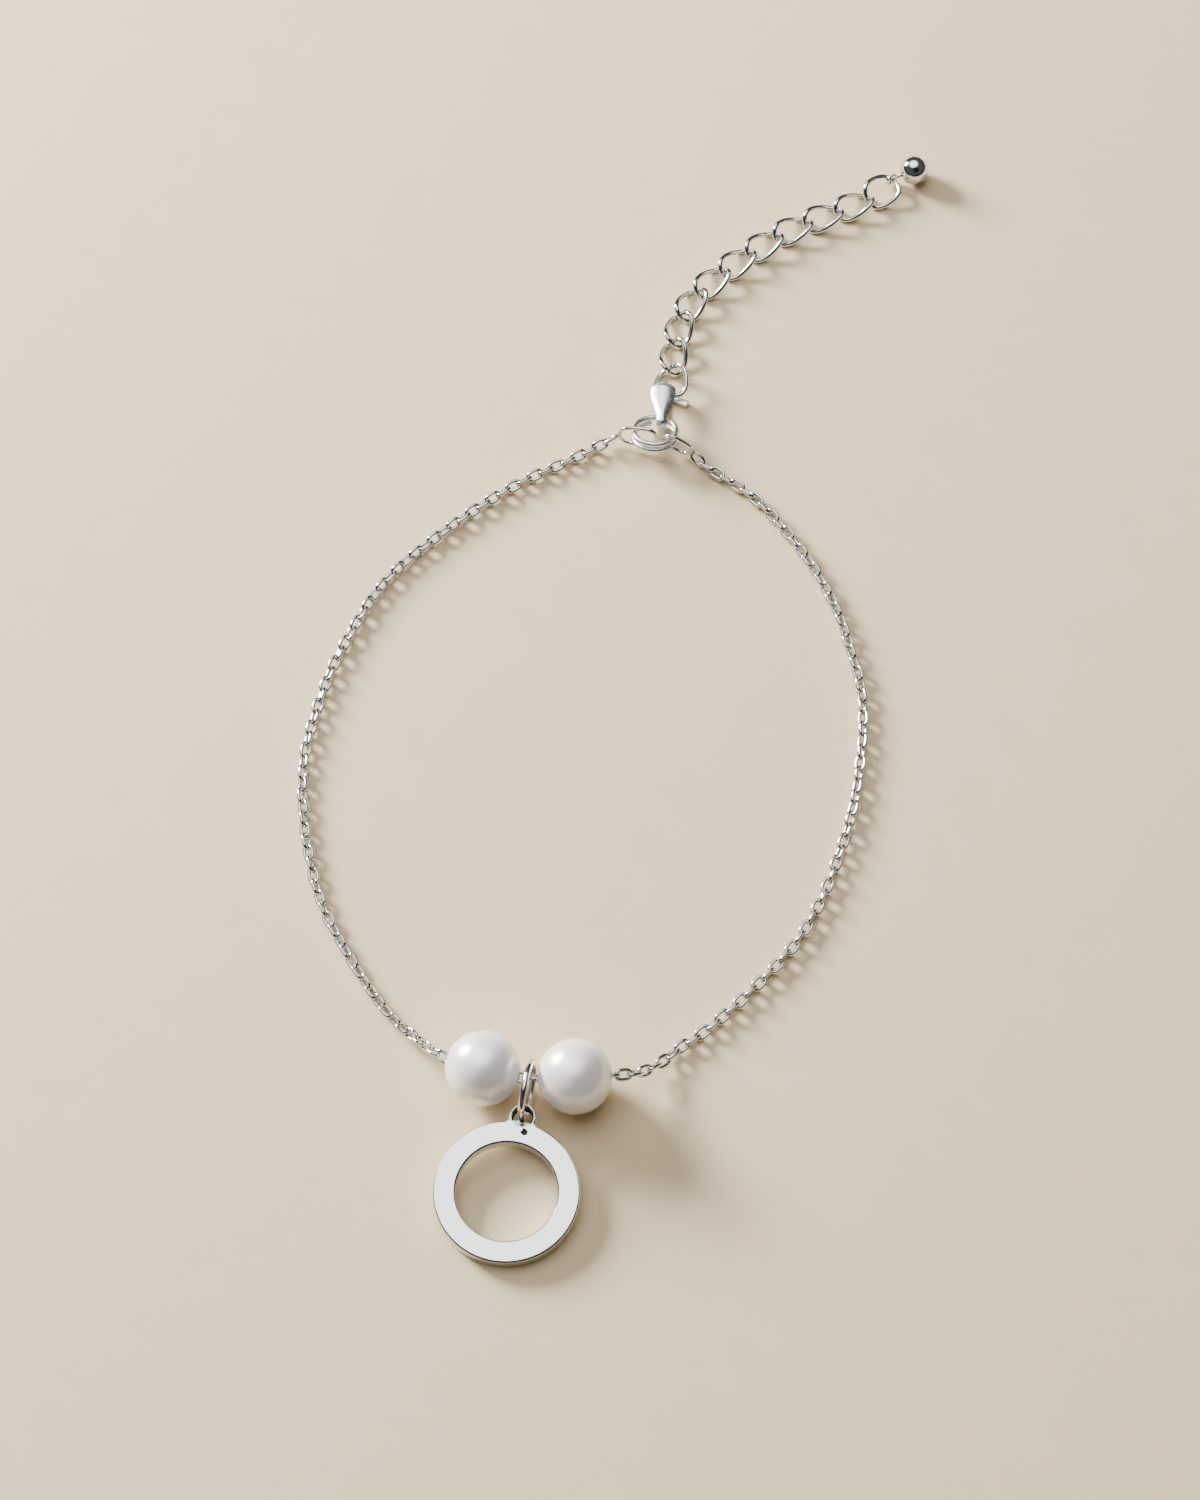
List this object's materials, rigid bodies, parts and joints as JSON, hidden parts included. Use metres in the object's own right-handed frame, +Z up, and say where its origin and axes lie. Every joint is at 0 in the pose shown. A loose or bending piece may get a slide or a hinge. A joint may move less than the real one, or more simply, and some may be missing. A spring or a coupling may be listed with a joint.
{
  "type": "pearl bracelet",
  "caption": "Fine silver-coloured chain bracelet with pearls, a ring pendant on a jump ring, a clasp and an extender chain with a ball end, lying flat.",
  "frame": {"origin": "on the surface that the bracelet lies on, under the middle of its outline", "axes": "+Z up from that surface, +Y from the pendant towards the clasp and extender, +X to the right seen from above with the pendant nearest"},
  "size_m": [0.0588, 0.1124, 0.0066],
  "materials": {
    "silver": "polished silver, mirror bright",
    "pearl": "satin white nacre with a soft lustre"
  },
  "bodies": {
    "root": {"chain": "silver", "ring_pendant": "silver", "jump_ring": "silver", "split_ring": "silver", "end_link_left": "silver", "end_link_right": "silver", "clasp": "silver", "extender_link_01": "silver", "extender_link_02": "silver", "extender_link_03": "silver", "extender_link_04": "silver", "extender_link_05": "silver", "extender_link_06": "silver", "extender_link_07": "silver", "extender_link_08": "silver", "extender_link_09": "silver", "extender_link_10": "silver", "extender_link_11": "silver", "end_ball": "silver", "pearl_left": "pearl", "pearl_right": "pearl"}
  },
  "joints": []
}
